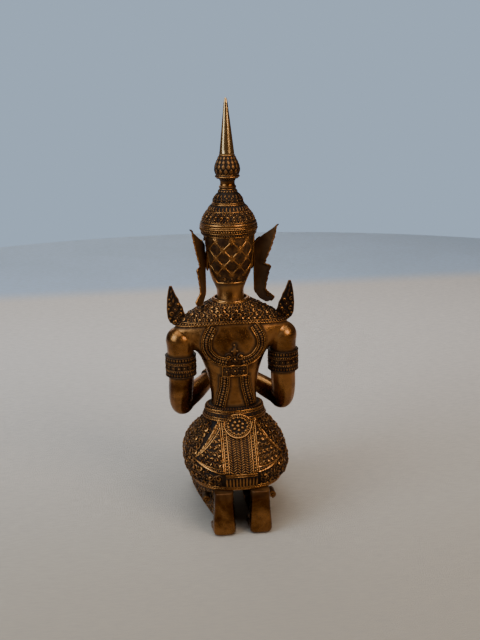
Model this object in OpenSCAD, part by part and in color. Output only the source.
// Kneeling praying figure in aged brass, with a tall tiered crown, wing-shaped ear
// ornaments and flame-shaped shoulder ornaments. Built from separate castings whose
// joints sit under the ornaments. X is across the figure (+X its left), +Y is its back.

/* [Body] */
// Width across the hips and folded legs
hip_w = 82; // [74:1:92]
// Height of the waist seam above the floor
waist_z = 92; // [84:1:104]
// Width of the trunk at the waist
waist_w = 37; // [33:1:42]
// Width of the trunk between the flat faces that carry the arms
chest_w = 68; // [62:1:76]
// Depth of the chest from front to back
chest_d = 37; // [32:1:42]
// Height of the trunk from the waist seam to the neck seam
torso_h = 86; // [78:1:96]
// Thickness of the hollow castings
wall = 3; // [2:0.5:3.5]

/* [Legs] */
// Height of the heels, and of the seam between the lap and the folded legs
heel_z = 37; // [33:1:40]
// Width of each foot
foot_w = 18; // [16:0.5:20]
// Gap between the two feet
foot_gap = 10.5; // [8:0.5:12]
// Thickness of each foot from instep to sole
foot_t = 12; // [10:0.5:14]
// Length from the fronts of the knees to the soles
leg_len = 116; // [106:1:126]

/* [Arms] */
// Radius of the upper arm under its armband
arm_r = 10.2; // [9.2:0.1:10.6]
// Radius of the forearm under its bracelet
wrist_r = 6.4; // [5.5:0.1:7]
// Length of the upper arm from shoulder to elbow
upper_arm_l = 57; // [52:1:62]
// Height of each armband
armband_h = 17; // [13:1:19]
// Thickness of each hand across the palm
hand_t = 6; // [5:0.5:7]
// Length of each hand
hand_l = 42; // [36:1:48]

/* [Head] */
// Width of the head
head_w = 37; // [34:1:39]
// Radius of the neck
neck_r = 10.8; // [9.5:0.1:12]
// Height of the head casting from the neck seam to the crown seat
head_h = 58; // [52:1:64]
// Width of each ear wing from the head to its tip
wing_w = 21; // [17:1:24]
// Angle at which the left ear wing is swept back
left_wing_sweep = 58; // [25:1:65]
// Angle at which the right ear wing is swept back
right_wing_sweep = 34; // [25:1:65]
// Thickness of the ear wings
plate_t = 2.2; // [1.8:0.1:2.8]
// Thickness of the shoulder flames
flame_t = 3.6; // [3.2:0.1:4.2]

/* [Crown] */
// Radius of the crown brim
brim_r = 22.8; // [21.5:0.1:26]
// Height of the domed tiers
dome_h = 17; // [14:1:20]
// Height of the cone above the tiers
cone_h = 11; // [9:1:14]
// Height of the slim neck under the lotus bud
stem_h = 7; // [5:1:9]
// Radius of the lotus bud
bud_r = 10.3; // [9:0.1:12]
// Height of the lotus bud
bud_h = 18.5; // [15:0.5:22]
// Height of the plain spire
spire_h = 41.5; // [34:0.5:48]
// Radius of the spire at its foot
spire_r = 5.8; // [5:0.1:6.8]

/* [Ornament] */
// Thickness of the applied collar, sash, belt and aprons
ornament_t = 1.8; // [1.4:0.1:2.4]
// Width of the sash bands
sash_w = 7.5; // [6:0.5:8.5]
// Width of the back and front aprons
apron_w = 25; // [21:1:29]

/* [Fasteners] */
// Radius of the rod that holds the crown together
rod_r = 1.5; // [1.2:0.1:2]
// Radius of the dowels and pins
pin_r = 1.6; // [1.2:0.1:2]
// Radial clearance of rods and pins in their holes
clearance = 0.05; // [0.03:0.01:0.1]

/* [Hidden] */

skin_gold = "#8a5a22";
relief_gold = "#6e4a1e";
bright_gold = "#c09a4a";
steel_grey = "#8a8a8a";

// Facets round a body section, round a limb, and steps between given sections
round_n = 36;
limb_n = 20;
section_steps = 2;
// Gap left for solder behind an ornament, so that flat facets never bite a curved wall
solder_gap = 0.2;

// Heights, from the floor up
neck_z = waist_z + torso_h;
// Height at which the yoke of the shoulders is widest
yoke_z = waist_z + torso_h * 0.745;
shoulder_z = yoke_z + 0.4 - arm_r;
crown_z = neck_z + head_h;
dome_top_z = crown_z + dome_h;
cone_top_z = dome_top_z + cone_h;
bud_z = cone_top_z + stem_h;
spire_z = bud_z + bud_h;

// Distances front to back: the origin is midway between the knees and the soles
sole_y = leg_len / 2;
knee_y = -leg_len / 2;
instep_y = sole_y - foot_t;
seat_back_y = sole_y - 4;
waist_y = 10;
neck_y = 3;
shoulder_y = waist_y - 6;

// ---- Section lists: [height, half width, depth behind, depth in front, centre y, squareness] ----

// One point of a Catmull-Rom curve through b and c
function curve(a, b, c, d, t) = 0.5 * (2 * b + (c - a) * t + (2 * a - 5 * b + 4 * c - d) * t * t
    + (3 * b - a - 3 * c + d) * t * t * t);
// A smooth list through the given one, with k steps to each gap
function smooth(p, k = section_steps) = [
    for (i = [0 : len(p) - 2], s = [0 : k - 1])
        curve(p[max(i - 1, 0)], p[i], p[i + 1], p[min(i + 2, len(p) - 1)], s / k),
    p[len(p) - 1]];

// The section of a list at height z, in a straight line between its neighbours
function section_at(list, z, i = 0) = i >= len(list) - 2 || z <= list[i + 1][0]
    ? let (t = (z - list[i][0]) / (list[i + 1][0] - list[i][0])) list[i] + (list[i + 1] - list[i]) * t
    : section_at(list, z, i + 1);

// The sections of a list from height low to height high, cut exactly at both
function between(list, low, high) = concat([section_at(list, low)],
    [for (s = list) if (s[0] > low + 0.2 && s[0] < high - 0.2) s], [section_at(list, high)]);

// One point of a section at angle a, moved out by off
function bulge(v, e) = sign(v) * pow(abs(v), 2 / e);
function section_point(s, a, off = 0) = [
    (s[1] + off) * bulge(cos(a), s[5]),
    s[4] + ((sin(a) >= 0 ? s[2] : s[3]) + off) * bulge(sin(a), s[5]),
    s[0]];
function section_ring(s, off = 0, n = round_n) = [for (i = [0 : n - 1]) section_point(s, 360 * i / n, off)];
function rings(list, off = 0, n = round_n) = [for (s = list) section_ring(s, off, n)];

hip = hip_w / 2;
waist = waist_w / 2;
chest = chest_w / 2;
lap_rise = waist_z - heel_z;
lap_sections = smooth([
    [heel_z, hip * 0.95, seat_back_y - waist_y - 1, waist_y - knee_y - 3, waist_y, 3],
    [heel_z + lap_rise * 0.2, hip, seat_back_y - waist_y, waist_y - knee_y - 3, waist_y, 2.7],
    [heel_z + lap_rise * 0.45, hip * 0.94, seat_back_y - waist_y - 6, 52, waist_y, 2.3],
    [heel_z + lap_rise * 0.65, hip * 0.79, seat_back_y - waist_y - 14, 34, waist_y, 2.1],
    [heel_z + lap_rise * 0.84, hip * 0.6, 21, 20, waist_y, 2],
    [waist_z, waist + 3, 15.5, 14.5, waist_y, 2]]);
// The trunk is cut flat where its half width passes that of the chest; its collar is not
torso_sections = smooth([
    [waist_z, waist, chest_d * 0.35, chest_d * 0.34, waist_y, 2],
    [waist_z + torso_h * 0.13, waist - 0.3, chest_d * 0.34, chest_d * 0.34, waist_y - 1, 2],
    [waist_z + torso_h * 0.3, waist + 2, chest_d * 0.38, chest_d * 0.4, waist_y - 2.5, 2],
    [waist_z + torso_h * 0.41, chest * 0.69, chest_d * 0.44, chest_d * 0.47, waist_y - 4, 2.1],
    [waist_z + torso_h * 0.5, chest * 0.79, chest_d * 0.47, chest_d * 0.5, waist_y - 5, 2.2],
    [waist_z + torso_h * 0.57, chest * 0.96, chest_d * 0.48, chest_d * 0.51, waist_y - 6, 2.2],
    [waist_z + torso_h * 0.66, chest * 1.16, chest_d * 0.46, chest_d * 0.5, waist_y - 6, 2.1],
    [yoke_z, chest * 1.33, chest_d * 0.42, chest_d * 0.46, waist_y - 6, 2],
    [waist_z + torso_h * 0.86, chest, chest_d * 0.38, chest_d * 0.4, waist_y - 6, 2],
    [waist_z + torso_h * 0.91, chest * 0.78, max(chest_d * 0.35, neck_r + 2), max(chest_d * 0.36, neck_r + 2),
        neck_y + 1, 2],
    [waist_z + torso_h * 0.95, chest * 0.58, neck_r + 1.8, neck_r + 1.8, neck_y, 2],
    [neck_z, neck_r + 1.2, neck_r + 1, neck_r + 1, neck_y, 2]]);
head = head_w / 2;
head_sections = smooth([
    [neck_z, neck_r, neck_r - 0.3, neck_r - 0.3, neck_y, 2],
    [neck_z + head_h * 0.12, neck_r - 0.2, neck_r - 0.4, neck_r - 0.4, neck_y - 1, 2],
    [neck_z + head_h * 0.2, head * 0.66, head * 0.62, head * 0.86, 1, 2],
    [neck_z + head_h * 0.28, head * 0.77, head * 0.7, head * 1.04, 0, 2],
    [neck_z + head_h * 0.42, head * 0.88, head * 0.85, head * 1.12, 0, 2],
    [neck_z + head_h * 0.62, head * 0.96, head * 1, head * 1.12, 0, 2],
    [neck_z + head_h * 0.82, head, head * 1.05, head * 1.07, 0, 2],
    [crown_z, head * 0.96, head, head * 0.98, 0, 2]]);

// ---- Solids from rings ----

function side_faces(m, n, first, out) = [
    for (j = [0 : m - 2], i = [0 : n - 1])
        let (a = first + j * n + i, b = first + j * n + (i + 1) % n, c = b + n, d = a + n)
        each (out ? [[a, d, c], [a, c, b]] : [[a, c, d], [a, b, c]])];
function rim_faces(n, outer, inner, up) = [
    for (i = [0 : n - 1])
        let (a = outer + i, b = outer + (i + 1) % n, c = inner + (i + 1) % n, d = inner + i)
        each (up ? [[a, d, c], [a, c, b]] : [[a, c, d], [a, b, c]])];

// A closed solid through flat rings, each running anticlockwise seen from its far end
module skin(list) {
    n = len(list[0]);
    m = len(list);
    polyhedron(
        points = [for (r = list) each r],
        faces = concat([[for (i = [0 : n - 1]) i]], side_faces(m, n, 0, true),
            [[for (i = [n - 1 : -1 : 0]) (m - 1) * n + i]]));
}

// A tube between outer and inner rings, open at both ends
module tube_skin(outer, inner) {
    n = len(outer[0]);
    m = len(outer);
    polyhedron(
        points = concat([for (r = outer) each r], [for (r = inner) each r]),
        faces = concat(side_faces(m, n, 0, true), side_faces(m, n, m * n, false),
            rim_faces(n, 0, m * n, false), rim_faces(n, (m - 1) * n, (2 * m - 1) * n, true)));
}

// A curved plate: each row is a strip of outer points followed by the inner ones in reverse
module plate_skin(rows) {
    n = len(rows[0]);
    m = len(rows);
    h = n / 2;
    function cap(first, up) = [for (i = [0 : h - 2])
        let (a = first + i, b = first + i + 1, c = first + n - 2 - i, d = first + n - 1 - i)
        each (up ? [[a, d, c], [a, c, b]] : [[a, c, d], [a, b, c]])];
    polyhedron(points = [for (r = rows) each r],
        faces = concat(side_faces(m, n, 0, true), cap(0, false), cap((m - 1) * n, true)));
}

// A plate on a lofted body, over angles a0 to a1 at each section of the list
module body_plate(list, a0, a1, thick, steps) {
    plate_skin([for (s = list) concat(
        [for (i = [0 : steps]) section_point(s, a0 + (a1 - a0) * i / steps, solder_gap + thick)],
        [for (i = [steps : -1 : 0]) section_point(s, a0 + (a1 - a0) * i / steps, solder_gap)])]);
}

// A band laid on the back (side 1) or front (side -1) of a lofted body, along a path of [x, z]
module body_band(list, path, width, thick, side) {
    p = smooth(path, 3);
    last = len(p) - 1;
    parts = 4;
    function on_body(x, z, off) = let (s = section_at(list, z), w = s[1] + off,
        d = (side > 0 ? s[2] : s[3]) + off)
        [x, s[4] + side * d * pow(max(0.02, 1 - pow(abs(x) / w, s[5])), 1 / s[5]), z];
    function across(i) = let (d = p[min(i + 1, last)] - p[max(i - 1, 0)]) [-d[1], d[0]] / norm(d) * width / 2;
    function spot(i, k, off) = let (q = across(i) * side * (1 - 2 * k / parts))
        on_body(p[i][0] + q[0], p[i][1] + q[1], off);
    plate_skin([for (i = [0 : last]) concat(
        [for (k = [0 : parts]) spot(i, k, 1.5 * solder_gap + thick)],
        [for (k = [parts : -1 : 0]) spot(i, k, 1.5 * solder_gap)])]);
}

// A panel on a lofted body, centred at angle middle and as wide all the way up
module body_panel(list, middle, width, seat, thick, steps) {
    plate_skin([for (s = list) let (h = half_angle(width, s)) concat(
        [for (i = [0 : steps]) section_point(s, middle - h + 2 * h * i / steps, seat + thick)],
        [for (i = [steps : -1 : 0]) section_point(s, middle - h + 2 * h * i / steps, seat)])]);
}

// A limb of round section along a path of [point, radius]
module limb(path) {
    last = len(path) - 1;
    skin([for (i = [0 : last])
        let (way = path[min(i + 1, last)][0] - path[max(i - 1, 0)][0], d = way / norm(way),
            u0 = cross(d, [0, 1, 0]), u = u0 / norm(u0), v = cross(d, u))
        [for (k = [0 : limb_n - 1]) path[i][0]
            + path[i][1] * (cos(360 * k / limb_n) * u + sin(360 * k / limb_n) * v)]]);
}

module on_right(left) {
    if (left) children();
    else mirror([1, 0, 0]) children();
}

// ---- Lower body ----

leg_inner = foot_gap / 2;
leg_half = (hip * 0.93 - leg_inner) / 2;
ankle_x = leg_inner + foot_w / 2;
leg_back = instep_y - 0.1;
// Folded leg: [height, share of width, depth behind, depth in front, centre y]
leg_sections = smooth([
    [0, 0.6, leg_back - knee_y - 50, 22, knee_y + 34],
    [heel_z * 0.1, 0.8, leg_back - knee_y - 42, 28, knee_y + 36],
    [heel_z * 0.35, 0.9, leg_back - knee_y - 38, 32, knee_y + 37],
    [heel_z * 0.65, 1, leg_back - knee_y - 38, 33, knee_y + 38],
    [heel_z, 0.96, leg_back - knee_y - 38, 32, knee_y + 38]]);
// How far a leg has narrowed on its way from the knee to the ankle, 0 to 1
function narrowing(y) = let (t = min(1, max(0, (y - knee_y) / (leg_back - knee_y)))) t * t * (3 - 2 * t);
function leg_width(y) = leg_half + (foot_w / 2 - leg_half) * narrowing(y);
function leg_point(s, a, off) = let (
    y = s[4] + ((sin(a) >= 0 ? s[2] : s[3]) + off) * bulge(sin(a), 2.4), w = leg_width(y))
    [leg_inner + w + (w * s[1] + off) * bulge(cos(a), 2.4), y, s[0]];
function leg_rings(list, off) = [for (s = list) [for (i = [0 : 27]) leg_point(s, 360 * i / 28, off)]];

module lap_casting() {
    // A cup: up the outside, over the rim and down the inside to the floor plate
    outer = rings(lap_sections);
    inner = rings(between(lap_sections, heel_z + wall, waist_z), -wall);
    color(relief_gold) difference() {
        skin(concat(outer, [for (i = [len(inner) - 1 : -1 : 0]) inner[i]]));
        waist_pin_holes(pin_r + clearance);
    }
}

module folded_leg(left) {
    color(relief_gold) on_right(left) difference() {
        skin(leg_rings(leg_sections, 0));
        skin(leg_rings(between(leg_sections, wall, heel_z - wall), -wall));
        translate([ankle_x, instep_y - foot_dowel_l / 2 - 0.5, foot_dowel_z]) rotate([-90, 0, 0])
            cylinder(r = pin_r + clearance, h = foot_dowel_l, $fn = 32);
        // Room for the toes
        translate([0, instep_y - toe_l - 0.3, -1]) cube([100, 100, toe_h + 1.3]);
    }
}

// Foot: the sole faces backwards, the toes are tucked forwards along the floor
foot_dowel_z = heel_z * 0.62;
foot_dowel_l = 14;
toe_l = 12;
toe_h = 6;
module foot(left) {
    ball_r = 4;
    heel_w = foot_w * 0.86;
    color(skin_gold) on_right(left) difference() {
        intersection() {
            translate([leg_inner, 0, 0]) rotate([90, 0, 90]) linear_extrude(foot_w)
                polygon(concat([[instep_y - toe_l, 0]],
                    [for (k = [0 : 15 : 90]) [sole_y - ball_r + ball_r * sin(k), ball_r - ball_r * cos(k)]],
                    [[sole_y, heel_z], [instep_y, heel_z], [instep_y, toe_h], [instep_y - toe_l * 0.6, toe_h],
                    [instep_y - toe_l, toe_h * 0.5]]));
            // Narrower at the heel than at the ball
            translate([0, sole_y + 1, 0]) rotate([90, 0, 0]) linear_extrude(foot_t + toe_l + 2)
                polygon([[leg_inner, 0], [leg_inner + foot_w, 0], [leg_inner + foot_w, heel_z * 0.3],
                    [leg_inner + heel_w + 1, heel_z], [leg_inner + foot_w - heel_w, heel_z]]);
        }
        translate([ankle_x, instep_y - 1, foot_dowel_z]) rotate([-90, 0, 0])
            cylinder(r = pin_r + clearance, h = foot_dowel_l / 2 + 1, $fn = 32);
    }
}

module foot_dowels() {
    color(bright_gold) for (s = [-1, 1])
        translate([s * ankle_x, instep_y - foot_dowel_l / 2, foot_dowel_z]) rotate([-90, 0, 0])
            cylinder(r = pin_r, h = foot_dowel_l - 0.5, $fn = 32);
}

// Cuff: the curled end of the trouser leg at the outer side of the shin
module cuff(left) {
    cuff_r = 3.4;
    cuff_l = 9;
    cuff_y = instep_y - 20;
    // Outer side of the shin beside the cuff
    behind = (cuff_y - knee_y - 38) / (leg_back - knee_y - 38);
    shin_x = leg_inner + leg_width(cuff_y) * (1 + pow(1 - pow(behind, 2.4), 1 / 2.4));
    cuff_x = shin_x + cuff_r + 0.1;
    color(relief_gold) on_right(left) translate([cuff_x, cuff_y, heel_z * 0.6]) rotate([-90, 0, 0]) {
        cylinder(r = cuff_r, h = cuff_l, $fn = 40);
        translate([0, 0, cuff_l]) sphere(r = cuff_r * 0.55, $fn = 40);
    }
}

// ---- Belt, aprons and hip petals ----

belt_h = 8;
belt_list = between(lap_sections, waist_z - belt_h, waist_z);
module waist_belt() {
    color(relief_gold)
        tube_skin(rings(belt_list, solder_gap + ornament_t), rings(belt_list, solder_gap));
}

// The aprons and petals start just under the belt
apron_top = waist_z - belt_h - 0.3;
apron_low = heel_z + 14;
fringe_low = heel_z + 3;
function half_angle(w, s) = asin(pow(min(0.95, w / 2 / s[1]), s[5] / 2));

module apron(front, low, high, width) {
    body_panel(between(lap_sections, low, high), front ? -90 : 90, width, solder_gap, ornament_t, 8);
}
module back_apron() { color(relief_gold) apron(false, apron_low + 0.2, apron_top, apron_w); }
module back_fringe() { color(relief_gold) apron(false, fringe_low, apron_low, apron_w); }
module front_apron() { color(relief_gold) apron(true, fringe_low, apron_top, apron_w); }

// Round panel of florets over the back of the belt and the top of the apron
boss_r = apron_w * 0.42;
boss_z = waist_z - boss_r - 0.4;
module belt_boss() {
    seat = 2 * solder_gap + ornament_t;
    turns = 14;
    steps = 8;
    color(relief_gold) plate_skin([for (k = [0 : turns])
        let (u = -cos(180 * k / turns), s = section_at(lap_sections, boss_z + boss_r * 0.99 * u),
            h = half_angle(2 * boss_r * max(0.14, sqrt(1 - u * u)), s))
        concat(
            [for (i = [0 : steps]) section_point(s, 90 - h + 2 * h * i / steps, seat + ornament_t)],
            [for (i = [steps : -1 : 0]) section_point(s, 90 - h + 2 * h * i / steps, seat)])]);
}

// Leaf-shaped drapery over each hip, from the belt beside the apron out to a low tip
module hip_petal(left) {
    low = heel_z + lap_rise * 0.25;
    tip = heel_z + lap_rise * 0.42;
    rows = 10;
    steps = 9;
    // Angle round the body, measured from the middle of the back, of the outer edge at step t
    function reach(t) = 24 + 44 * pow(sin(180 * pow(1 - t, 0.62)), 0.8) * (1 - t * 0.35);
    function row_z(t, u) = let (bottom = low + (tip - low) * u) bottom + (apron_top - bottom) * t;
    function leaf(t, u, off) = let (s = section_at(lap_sections, row_z(t, u)),
        a = half_angle(apron_w + 1.6, s), b = max(a + 3, reach(t)))
        section_point(s, 90 - b + (b - a) * (1 - u), off);
    color(relief_gold) on_right(left) plate_skin([for (k = [0 : rows]) concat(
        [for (i = [0 : steps]) leaf(k / rows, 1 - i / steps, solder_gap + ornament_t)],
        [for (i = [steps : -1 : 0]) leaf(k / rows, 1 - i / steps, solder_gap)])]);
}

// ---- Trunk ----

neck_socket_r = neck_r + 0.8 - wall;
spigot_h = 7;
module torso_casting() {
    color(skin_gold) difference() {
        union() {
            intersection() {
                tube_skin(rings(torso_sections), rings(torso_sections, -wall));
                translate([-chest, -100, 0]) cube([chest_w, 200, 400]);
            }
            // Spigot that drops into the open top of the lap
            translate([0, waist_y, waist_z - spigot_h]) difference() {
                cylinder(r = waist_spigot_r, h = spigot_h + 4, $fn = 64);
                translate([0, 0, -1]) cylinder(r = waist_spigot_r - wall, h = spigot_h + 6, $fn = 64);
            }
            // Flat walls that carry the arms
            for (s = [-1, 1]) shoulder_wall(s);
        }
        waist_pin_holes(pin_r + clearance);
        shoulder_dowel_holes();
    }
}

waist_spigot_r = min(chest_d * 0.34 - 0.4, 14.5 - wall - 0.2);
module shoulder_wall(s) {
    low = waist_z + torso_h * 0.6;
    high = waist_z + torso_h * 0.8;
    translate([s > 0 ? chest - wall : -chest, shoulder_y - 9, low]) cube([wall, 18, high - low]);
}

module waist_pin_holes(r) {
    for (s = [-1, 1]) translate([s * (waist + 4), waist_y, waist_z - spigot_h / 2]) rotate([0, s * -90, 0])
        cylinder(r = r, h = waist_pin_l + 1, $fn = 32);
}
waist_pin_l = waist + 4 - waist_spigot_r + wall;
module waist_pins() {
    color(bright_gold) for (s = [-1, 1])
        translate([s * (waist + 3.2), waist_y, waist_z - spigot_h / 2]) rotate([0, s * -90, 0])
            cylinder(r = pin_r, h = waist_pin_l - 0.8, $fn = 32);
}

// Collar: a broad yoke over the shoulders up to the foot of the neck, higher at the middle
collar_side = yoke_z + 2;
collar_low = yoke_z + torso_h * 0.07;
module collar() {
    rows = 9;
    function edge(a) = collar_side + (collar_low - collar_side) * pow(abs(sin(a)), 1.5);
    function ring(t, off) = [for (i = [0 : round_n - 1]) let (a = 360 * i / round_n,
        z = edge(a) + (neck_z - edge(a)) * t) section_point(section_at(torso_sections, z), a, off)];
    color(relief_gold) difference() {
        tube_skin([for (k = [0 : rows]) ring(k / rows, 2 * solder_gap + ornament_t)],
            [for (k = [0 : rows]) ring(k / rows, 2 * solder_gap)]);
        flame_rivet_holes();
    }
}

// Heart-shaped sash on the back, crossing at a boss and parting again to the waist
sash_top = collar_low - 0.8;
cross_z = waist_z + torso_h * 0.4;
loop_x = chest * 0.62;
module back_sash() {
    color(relief_gold) for (s = [-1, 1]) {
        body_band(torso_sections, [[s * loop_x * 0.82, sash_top - sash_w / 2], [s * loop_x, sash_top - 14],
            [s * loop_x * 0.86, sash_top - 25], [s * (sash_w / 2 + 0.9), cross_z + 8]],
            sash_w, ornament_t, 1);
        body_band(torso_sections, [[s * (sash_w / 2 + 4), cross_z - 6.5], [s * (sash_w / 2 + 4.6), cross_z - 16],
            [s * (sash_w / 2 + 7), waist_z + 2.5]], sash_w * 0.75, ornament_t, 1);
    }
}
// Block of florets where the bands cross
module sash_boss() {
    color(relief_gold) body_panel(between(torso_sections, cross_z - 5.6, cross_z + 1.6), 90, sash_w * 2.5,
        1.5 * solder_gap, ornament_t, 10);
}

// Two straps that cross on the chest behind the hands, with a pendant on the crossing
module front_sash() {
    color(relief_gold) for (s = [-1, 1])
        body_band(torso_sections, [[s * chest * 0.62, sash_top - sash_w / 2], [s * chest * 0.42, cross_z + 20],
            [s * (sash_w / 2 + 1.2), cross_z + sash_w * 0.7 + 3]], sash_w * 0.8, ornament_t, -1);
}
module chest_pendant() {
    half = sash_w * 0.7;
    color(relief_gold) body_panel(between(torso_sections, cross_z - half, cross_z + half), -90, half * 2,
        1.5 * solder_gap, ornament_t * 1.3, 6);
}

// ---- Arms ----

shoulder_x = chest + 7;
deltoid_r = arm_r + 1.2;
elbow_z = shoulder_z - upper_arm_l;
band_z = shoulder_z - torso_h * 0.134 - armband_h;
hands_y = -chest_d / 2 - 22;
wrist_z = waist_z + 14;
elbow = [shoulder_x + 1, shoulder_y - 6, elbow_z];
wrist = [hand_t, hands_y + 2, wrist_z];
forearm = wrist - elbow;
forearm_way = forearm / norm(forearm);
function along_forearm(t) = elbow + forearm * t;

module arm(left) {
    path = [
        [[shoulder_x, shoulder_y, shoulder_z + deltoid_r * 0.98], deltoid_r * 0.2],
        [[shoulder_x, shoulder_y, shoulder_z + deltoid_r * 0.87], deltoid_r * 0.5],
        [[shoulder_x, shoulder_y, shoulder_z + deltoid_r * 0.5], deltoid_r * 0.87],
        [[shoulder_x, shoulder_y, shoulder_z], deltoid_r],
        [[shoulder_x, shoulder_y, band_z + armband_h + 0.6], arm_r],
        [[shoulder_x, shoulder_y, band_z - 0.6], arm_r],
        [[shoulder_x + 0.6, shoulder_y - 2, elbow_z + 14], arm_r * 0.98],
        [elbow + [0.4, 0.5, 3], arm_r * 0.9],
        [elbow + [-1.5, -2, -1], arm_r * 0.82],
        [along_forearm(0.14), arm_r * 0.82],
        [along_forearm(0.42), arm_r * 0.8],
        [along_forearm(bracelet_at - 0.12), wrist_r],
        [along_forearm(bracelet_at + 0.12), wrist_r],
        [along_forearm(1.12), wrist_r * 0.95]];
    color(skin_gold) on_right(left) difference() {
        limb(path);
        // Flat seat against the trunk, and flat end against the hand
        translate([-100, -100, band_z + armband_h]) cube([100 + chest + 0.05, 200, 200]);
        translate([-100, -100, 0]) cube([100 + hand_t, 200, 400]);
        shoulder_dowel_holes();
        flame_rivet_holes();
        wrist_dowel_hole();
    }
}

dowel_l = wall + 8;
module shoulder_dowel_holes() {
    for (s = [-1, 1]) translate([s * (chest - wall - 1), shoulder_y, shoulder_z]) rotate([0, s * 90, 0])
        cylinder(r = pin_r + clearance, h = dowel_l + 1.5, $fn = 32);
}
module shoulder_dowels() {
    color(bright_gold) for (s = [-1, 1])
        translate([s * (chest - wall), shoulder_y, shoulder_z]) rotate([0, s * 90, 0])
            cylinder(r = pin_r, h = dowel_l, $fn = 32);
}

armband_t = 3;
module armband(left) {
    inner = arm_r + clearance;
    // Five ridges, the broadest in the middle
    ridge = [0.55, 0.8, 1, 0.8, 0.6];
    step = armband_h / len(ridge);
    color(relief_gold) on_right(left) translate([shoulder_x, shoulder_y, band_z]) rotate_extrude($fn = 72)
        for (i = [0 : len(ridge) - 1])
            translate([inner, i * step]) square([armband_t * ridge[i], step + (i < len(ridge) - 1 ? 0.01 : 0)]);
}

bracelet_at = 0.76;
bracelet_w = 7;
// Turns the Z axis onto a direction
module aim(way) {
    rotate([0, acos(way[2]), atan2(way[1], way[0])]) children();
}
module bracelet(left) {
    color(relief_gold) on_right(left) translate(along_forearm(bracelet_at)) aim(forearm_way)
        rotate_extrude($fn = 60) translate([wrist_r + clearance, -bracelet_w / 2]) square([2, bracelet_w]);
}

// ---- Hands, pressed palm to palm ----

wrist_dowel_l = 8;
module wrist_dowel_hole() {
    translate([hand_t / 2, wrist[1], wrist_z]) rotate([0, 90, 0])
        cylinder(r = pin_r + clearance, h = wrist_dowel_l + 0.5, $fn = 32);
}
module wrist_dowels() {
    color(bright_gold) for (s = [-1, 1])
        translate([s * hand_t / 2, wrist[1], wrist_z]) rotate([0, s * 90, 0])
            cylinder(r = pin_r, h = wrist_dowel_l, $fn = 32);
}
palm_w = 15;
finger_w = 9;
module hand(left) {
    low = wrist_z - 7;
    tip_r = finger_w / 2;
    color(skin_gold) on_right(left) difference() {
        translate([0.02, hands_y, low]) rotate([90, 0, 90]) linear_extrude(hand_t - 0.04) {
            polygon([[-palm_w * 0.3, 0], [palm_w * 0.42, 0], [palm_w * 0.5, hand_l * 0.3],
                [palm_w * 0.38, hand_l * 0.52], [tip_r, hand_l - tip_r], [-tip_r, hand_l - tip_r],
                [-palm_w * 0.46, hand_l * 0.5], [-palm_w * 0.44, hand_l * 0.2]]);
            translate([0, hand_l - tip_r]) circle(r = tip_r, $fn = 48);
        }
        wrist_dowel_hole();
    }
}

// ---- Shoulder flames ----

flame_in = shoulder_x - 6;
flame_out = shoulder_x + 8.5;
flame_top = yoke_z + 34;
rivet_r = pin_r * 0.7;
rivet_l = 14;
// Height of the outside of the collar above a point at x on the line of the shoulders
function collar_top(x) = lookup(x, [for (s = torso_sections) if (s[0] >= yoke_z - 0.1)
    [s[1] + 2 * solder_gap + ornament_t, s[0]]]) + 0.25;
rivet_z = collar_top(shoulder_x) + 4 - rivet_l;
module flame_rivet_holes() {
    for (s = [-1, 1]) translate([s * shoulder_x, shoulder_y, rivet_z - 0.5])
        cylinder(r = rivet_r + clearance, h = rivet_l + 0.7, $fn = 32);
}
// A pointed leaf that stands on the collar, upright at its outer edge
module shoulder_flame(left) {
    h = flame_top - collar_top(shoulder_x);
    color(relief_gold) on_right(left) difference() {
        translate([0, shoulder_y + flame_t / 2, 0]) rotate([90, 0, 0]) linear_extrude(flame_t)
            polygon(concat(
                [for (x = [flame_in : 2 : shoulder_x + 4]) [x, collar_top(x)]],
                [[flame_out, collar_top(shoulder_x + 4) + 3], [flame_out + 0.4, flame_top - h * 0.62],
                    [flame_out - 0.6, flame_top - h * 0.3], [flame_out - 2.6, flame_top],
                    [flame_out - 3.4, flame_top], [flame_out - 7.6, flame_top - h * 0.36],
                    [flame_in + 2.2, flame_top - h * 0.68]]));
        flame_rivet_holes();
    }
}
module flame_rivets() {
    color(bright_gold) for (s = [-1, 1]) translate([s * shoulder_x, shoulder_y, rivet_z])
        cylinder(r = rivet_r, h = rivet_l, $fn = 32);
}

// ---- Head ----

module head_casting() {
    top_plate = 3;
    color(skin_gold) difference() {
        union() {
            skin(rings(head_sections, 0, 32));
            translate([0, neck_y, neck_z - spigot_h]) cylinder(r = neck_socket_r, h = spigot_h + 2, $fn = 60);
        }
        // Hollow from the neck up to the plate that carries the crown
        skin(rings(between(head_sections, neck_z + 4, crown_z - top_plate), -wall, 32));
        translate([0, neck_y, neck_z - spigot_h - 1])
            cylinder(r = neck_socket_r - wall, h = spigot_h + 8, $fn = 48);
        translate([0, 0, crown_z - 10]) cylinder(r = rod_r + clearance, h = 12, $fn = 32);
        neck_pin_holes(pin_r * 0.6 + clearance);
    }
}

module neck_pin_holes(r) {
    for (s = [-1, 1]) translate([0, neck_y, neck_z - spigot_h / 2]) rotate([0, s * 90, 0])
        translate([0, 0, neck_socket_r - wall - 1]) cylinder(r = r, h = wall + 1.2, $fn = 32);
}
module neck_pins() {
    color(bright_gold) for (s = [-1, 1]) translate([0, neck_y, neck_z - spigot_h / 2]) rotate([0, s * 90, 0])
        translate([0, 0, neck_socket_r - wall - 0.5]) cylinder(r = pin_r * 0.6, h = wall + 0.4, $fn = 32);
}

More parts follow.
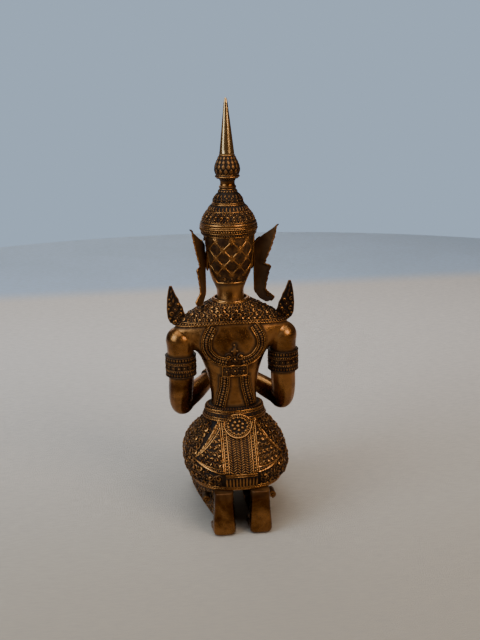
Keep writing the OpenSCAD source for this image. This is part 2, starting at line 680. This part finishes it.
// Net-patterned hair over the back of the head, narrowing to the nape
module hair_net() {
    low = neck_z + head_h * 0.25;
    list = between(head_sections, low, crown_z - brim_h - 0.3);
    steps = 12;
    color(relief_gold) plate_skin([for (s = list)
        let (t = (s[0] - low) / (crown_z - low), open = 52 + 26 * t)
        concat(
            [for (i = [0 : steps]) section_point(s, 90 - open + 2 * open * i / steps, solder_gap + ornament_t)],
            [for (i = [steps : -1 : 0]) section_point(s, 90 - open + 2 * open * i / steps, solder_gap)])]);
}

// Band across the brow
module diadem() {
    list = between(head_sections, crown_z - brim_h - 6, crown_z - brim_h - 0.3);
    color(relief_gold) body_plate(list, -165, -15, ornament_t, 18);
}

// Ear wing: a tall flame-edged plate that stands out from the side of the head
wing_low = neck_z - 3;
wing_top = crown_z + 1;
wing_x = head + solder_gap;
module ear_wing(left) {
    h = wing_top - wing_low;
    out = wing_w;
    sweep = left ? left_wing_sweep : right_wing_sweep;
    // Where the swept plate just clears the side of the head
    root = plate_t / 2 * tan(sweep) + 0.05;
    color(skin_gold) on_right(left) translate([wing_x, head * 0.02, wing_low]) rotate([0, 0, sweep])
        rotate([90, 0, 0]) translate([0, 0, -plate_t / 2]) linear_extrude(plate_t)
            polygon([[root, h * 0.14], [root, h * 0.8], [out * 0.45, h * 0.9],
                [out, h], [out * 0.9, h * 0.72], [out * 0.62, h * 0.46], [out * 0.7, h * 0.42],
                [out * 0.74, h * 0.2], [out * 0.95, h * 0.14], [out * 0.5, 0], [out * 0.2, h * 0.03]]);
}

// ---- Crown, all turned about the upright axis of the head ----

brim_h = 7;
brim_bore = head * 1.08 + 0.3;
module crown_brim() {
    color(relief_gold) translate([0, 0, crown_z - brim_h]) rotate_extrude($fn = 96)
        polygon([[brim_bore, 0], [brim_r - 1.6, 0], [brim_r - 0.8, brim_h * 0.35], [brim_r, brim_h * 0.55],
            [brim_r, brim_h], [brim_bore, brim_h]]);
}

// Stepped dome, hollow underneath, with a hole for the rod
module crown_dome() {
    top_r = brim_r * 0.56;
    tiers = 4;
    rise = dome_h / tiers;
    function tier_r(i) = brim_r - (brim_r - top_r) * pow(i / tiers, 1.25);
    color(relief_gold) translate([0, 0, crown_z]) difference() {
        rotate_extrude($fn = 96) polygon(concat([[0, 0]],
            [for (i = [0 : tiers - 1]) each [[tier_r(i), i * rise], [tier_r(i) - 0.4, (i + 0.75) * rise],
                [tier_r(i + 1) + 0.1, (i + 1) * rise]]],
            [[0, dome_h]]));
        translate([0, 0, -1]) cylinder(r1 = brim_r - wall - 2, r2 = top_r - wall - 1, h = dome_h - wall + 1, $fn = 72);
        cylinder(r = rod_r + clearance, h = dome_h + 1, $fn = 32);
    }
}

module bored(z, h) {
    translate([0, 0, z]) difference() {
        children();
        translate([0, 0, -1]) cylinder(r = rod_r + clearance, h = h + 2, $fn = 32);
    }
}
cone_r = brim_r * 0.55;
stem_r = 6.3;
module crown_cone() {
    color(relief_gold) bored(dome_top_z, cone_h)
        rotate_extrude($fn = 72) polygon([[0, 0], [cone_r, 0], [cone_r * 0.93, cone_h * 0.3],
            [cone_r * 0.72, cone_h * 0.62], [stem_r, cone_h], [0, cone_h]]);
}
module crown_stem() {
    bead_r = 1.1;
    color(skin_gold) bored(cone_top_z, stem_h) rotate_extrude($fn = 64) {
        polygon([[0, 0], [stem_r, 0], [stem_r - 0.7, stem_h * 0.5], [stem_r - 0.2, stem_h], [0, stem_h]]);
        translate([stem_r - 0.6, bead_r]) circle(r = bead_r, $fn = 32);
    }
}
module lotus_bud() {
    lip = 1.6;
    color(relief_gold) bored(bud_z, bud_h) rotate_extrude($fn = 72)
        polygon([[0, 0], [stem_r, 0], [bud_r - 0.6, lip], [bud_r - 0.6, lip * 2], [bud_r - 1.4, lip * 2.4],
            [bud_r, bud_h * 0.36], [bud_r - 0.3, bud_h * 0.5], [bud_r * 0.82, bud_h * 0.74],
            [spire_r, bud_h], [0, bud_h]]);
}
module spire() {
    tip_r = 0.9;
    color(skin_gold) translate([0, 0, spire_z]) difference() {
        rotate_extrude($fn = 72) polygon([[0, 0], [spire_r, 0], [spire_r * 0.8, spire_h * 0.25],
            [spire_r * 0.42, spire_h * 0.72], [tip_r, spire_h - 0.8], [0, spire_h]]);
        translate([0, 0, -1]) cylinder(r = rod_r + clearance, h = rod_end - spire_z + 1.5, $fn = 32);
    }
}

rod_end = spire_z + min(10, spire_h * 0.3);
nut_h = 2.6;
nut_flats = 6;
module crown_rod() {
    low = crown_z - 3 - nut_h - 2;
    color(steel_grey) translate([0, 0, low]) cylinder(r = rod_r, h = rod_end - low, $fn = 48);
}
module crown_nut() {
    color(steel_grey) translate([0, 0, crown_z - 3 - nut_h]) difference() {
        cylinder(r = nut_flats / 2 / cos(30), h = nut_h, $fn = 6);
        translate([0, 0, -1]) cylinder(r = rod_r + clearance, h = nut_h + 2, $fn = 32);
    }
}

// ---- One node at a time, or all of them ----

lap_casting();
folded_leg(true);  // left_folded_leg
folded_leg(false);  // right_folded_leg
foot(true);  // left_foot
foot(false);  // right_foot
cuff(true);  // left_cuff
cuff(false);  // right_cuff
waist_belt();
belt_boss();
back_apron();
back_fringe();
front_apron();
hip_petal(true);  // left_hip_petal
hip_petal(false);  // right_hip_petal
torso_casting();
collar();
back_sash();
sash_boss();
front_sash();
chest_pendant();
arm(true);  // left_arm
arm(false);  // right_arm
armband(true);  // left_armband
armband(false);  // right_armband
bracelet(true);  // left_bracelet
bracelet(false);  // right_bracelet
hand(true);  // left_hand
hand(false);  // right_hand
shoulder_flame(true);  // left_shoulder_flame
shoulder_flame(false);  // right_shoulder_flame
head_casting();
hair_net();
diadem();
ear_wing(true);  // left_ear_wing
ear_wing(false);  // right_ear_wing
crown_brim();
crown_dome();
crown_cone();
crown_stem();
lotus_bud();
spire();
crown_rod();
crown_nut();
neck_pins();
waist_pins();
shoulder_dowels();
wrist_dowels();
foot_dowels();
flame_rivets();
